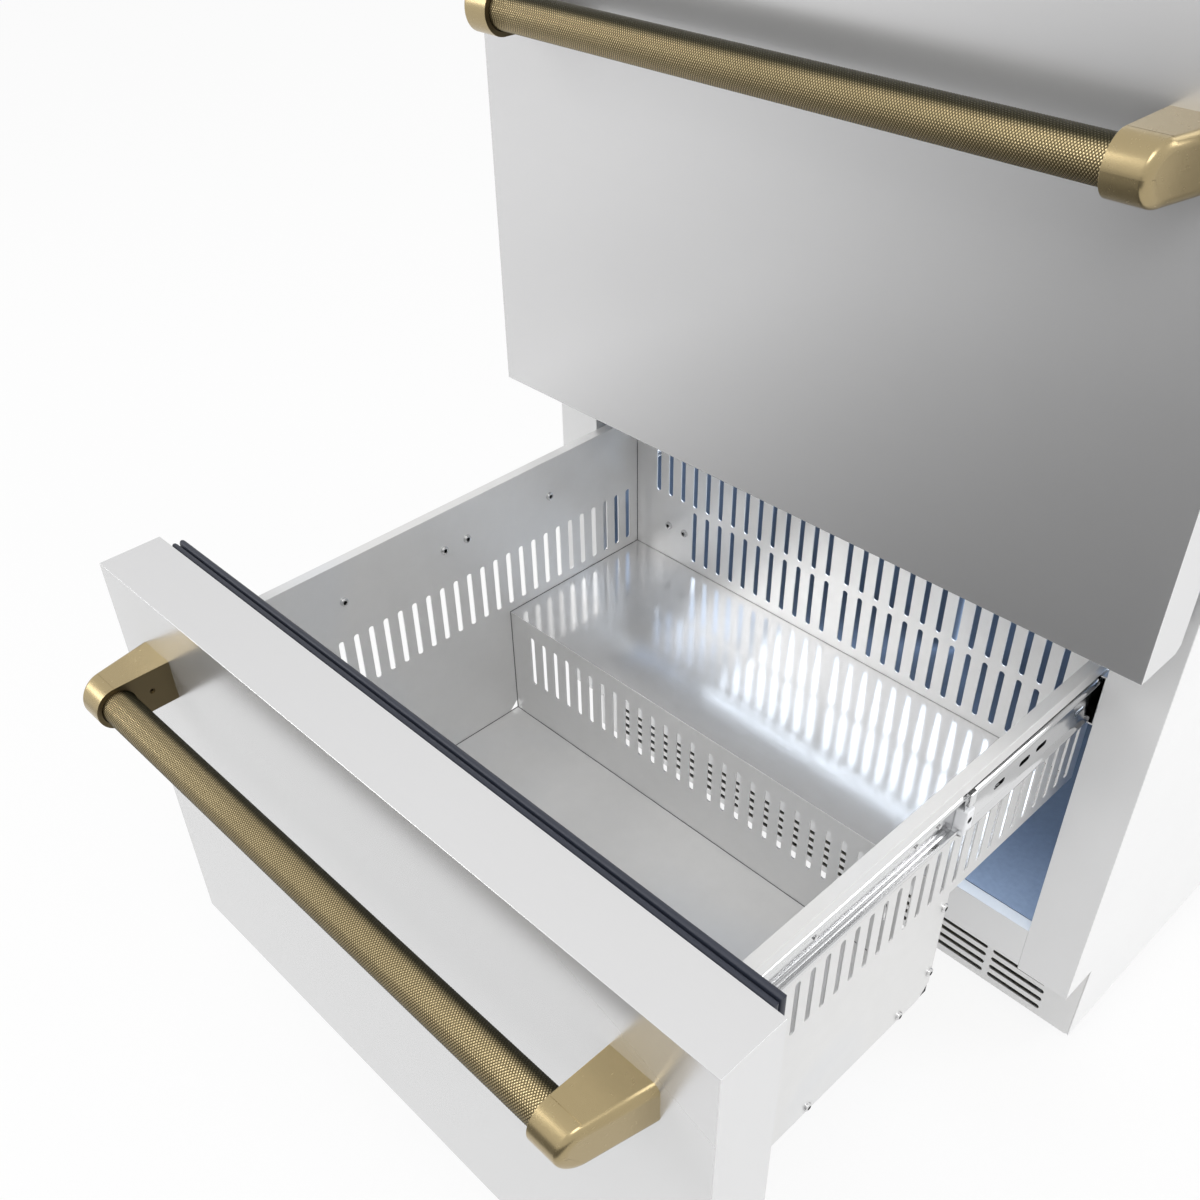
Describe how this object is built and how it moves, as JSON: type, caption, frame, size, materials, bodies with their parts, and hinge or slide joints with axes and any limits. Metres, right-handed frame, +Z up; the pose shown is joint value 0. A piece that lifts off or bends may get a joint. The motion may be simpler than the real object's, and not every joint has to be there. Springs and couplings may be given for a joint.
{
  "type": "undercounter drawer refrigerator",
  "caption": "Undercounter refrigerator with two steel drawer fronts, knurled bronze bar handles and slotted steel drawer boxes on telescopic slides; lower drawer stands open.",
  "frame": {"origin": "on the floor under the middle of the whole outline, with the lower drawer as open as it is stored", "axes": "+X to the right as seen from the front, +Y from the drawer fronts to the back of the cabinet, +Z up"},
  "size_m": [0.6, 1.0592, 0.87],
  "materials": {
    "front_steel": "satin",
    "cabinet_steel": "satin",
    "frame_steel": "satin",
    "zinc_sheet": "satin",
    "liner_steel": "satin",
    "box_steel": "satin",
    "slide_steel": "gloss",
    "screw_steel": "gloss",
    "handle_bronze": "satin",
    "foam": "matte",
    "inner_plate": "satin",
    "gasket_rubber": "matte",
    "foot_plastic": "matte",
    "black_plastic": "matte",
    "white_plastic": "satin",
    "lamp_lens": "gloss",
    "compressor_paint": "gloss",
    "grommet_rubber": "matte",
    "coil_dark": "satin",
    "coil_aluminium": "satin",
    "copper_pipe": "satin",
    "fan_plastic": "satin"
  },
  "bodies": {
    "cabinet": {"side_panel_left": "cabinet_steel", "side_panel_right": "cabinet_steel", "top_panel": "cabinet_steel", "back_panel": "zinc_sheet", "base_pan": "zinc_sheet", "front_frame": "frame_steel", "sill_plate": "frame_steel", "toe_grille": "frame_steel", "liner": "liner_steel", "insulation": "foam", "compressor": "compressor_paint", "compressor_grommets": "grommet_rubber", "condenser": "coil_dark", "condenser_shroud": "black_plastic", "drip_tray": "black_plastic", "refrigerant_lines": "copper_pipe", "evaporator": "coil_aluminium", "evaporator_cover": "white_plastic", "interior_lamp": "lamp_lens", "control_module": "black_plastic", "cord_gland": "black_plastic", "slide_outer_lower": "slide_steel", "slide_outer_upper": "slide_steel"},
    "condenser_fan": {"condenser_fan": "fan_plastic"},
    "evaporator_fan": {"evaporator_fan": "fan_plastic"},
    "foot_front_left": {"foot_front_left": "foot_plastic"},
    "foot_front_right": {"foot_front_right": "foot_plastic"},
    "foot_back_left": {"foot_back_left": "foot_plastic"},
    "foot_back_right": {"foot_back_right": "foot_plastic"},
    "slide_middle_lower_left": {"slide_middle_lower_left": "slide_steel"},
    "slide_middle_lower_right": {"slide_middle_lower_right": "slide_steel"},
    "slide_middle_upper_left": {"slide_middle_upper_left": "slide_steel"},
    "slide_middle_upper_right": {"slide_middle_upper_right": "slide_steel"},
    "lower_drawer": {"lower_front_skin": "front_steel", "lower_front_core": "foam", "lower_front_liner": "inner_plate", "lower_gasket": "gasket_rubber", "lower_handle_bar": "handle_bronze", "lower_bracket_left": "handle_bronze", "lower_bracket_right": "handle_bronze", "lower_box_left": "box_steel", "lower_box_right": "box_steel", "lower_box_back": "box_steel", "lower_box_floor": "box_steel", "lower_slide_inner": "slide_steel", "lower_fasteners": "screw_steel"},
    "upper_drawer": {"upper_front_skin": "front_steel", "upper_front_core": "foam", "upper_front_liner": "inner_plate", "upper_gasket": "gasket_rubber", "upper_handle_bar": "handle_bronze", "upper_bracket_left": "handle_bronze", "upper_bracket_right": "handle_bronze", "upper_box_left": "box_steel", "upper_box_right": "box_steel", "upper_box_back": "box_steel", "upper_box_floor": "box_steel", "upper_slide_inner": "slide_steel", "upper_fasteners": "screw_steel"}
  },
  "joints": [
    {"name": "lower_drawer_slide", "type": "slide", "parent": "cabinet", "child": "lower_drawer", "axis": [0, -1, 0], "range_m": [-0.388, 0.012]},
    {"name": "upper_drawer_slide", "type": "slide", "parent": "cabinet", "child": "upper_drawer", "axis": [0, -1, 0], "range_m": [0, 0.4]},
    {"name": "lower_left_middle_slide", "type": "slide", "parent": "cabinet", "child": "slide_middle_lower_left", "axis": [0, -1, 0], "range_m": [-0.194, 0.006]},
    {"name": "lower_right_middle_slide", "type": "slide", "parent": "cabinet", "child": "slide_middle_lower_right", "axis": [0, -1, 0], "range_m": [-0.194, 0.006]},
    {"name": "upper_left_middle_slide", "type": "slide", "parent": "cabinet", "child": "slide_middle_upper_left", "axis": [0, -1, 0], "range_m": [0, 0.2]},
    {"name": "upper_right_middle_slide", "type": "slide", "parent": "cabinet", "child": "slide_middle_upper_right", "axis": [0, -1, 0], "range_m": [0, 0.2]},
    {"name": "condenser_fan_spin", "type": "hinge", "parent": "cabinet", "child": "condenser_fan", "pos_m": [-0.15, 0.35962, 0.1065], "axis": [0, 1, 0], "continuous": true},
    {"name": "evaporator_fan_spin", "type": "hinge", "parent": "cabinet", "child": "evaporator_fan", "pos_m": [0, 0.43462, 0.6059], "axis": [0, 1, 0], "continuous": true},
    {"name": "foot_front_left_screw", "type": "slide", "parent": "cabinet", "child": "foot_front_left", "axis": [0, 0, -1], "range_m": [0, 0.015]},
    {"name": "foot_front_right_screw", "type": "slide", "parent": "cabinet", "child": "foot_front_right", "axis": [0, 0, -1], "range_m": [0, 0.015]},
    {"name": "foot_back_left_screw", "type": "slide", "parent": "cabinet", "child": "foot_back_left", "axis": [0, 0, -1], "range_m": [0, 0.015]},
    {"name": "foot_back_right_screw", "type": "slide", "parent": "cabinet", "child": "foot_back_right", "axis": [0, 0, -1], "range_m": [0, 0.015]}
  ],
  "couplings": [
    {"joint": "lower_left_middle_slide", "follows": "lower_drawer_slide", "ratio": 0.5},
    {"joint": "lower_right_middle_slide", "follows": "lower_drawer_slide", "ratio": 0.5},
    {"joint": "upper_left_middle_slide", "follows": "upper_drawer_slide", "ratio": 0.5},
    {"joint": "upper_right_middle_slide", "follows": "upper_drawer_slide", "ratio": 0.5}
  ]
}
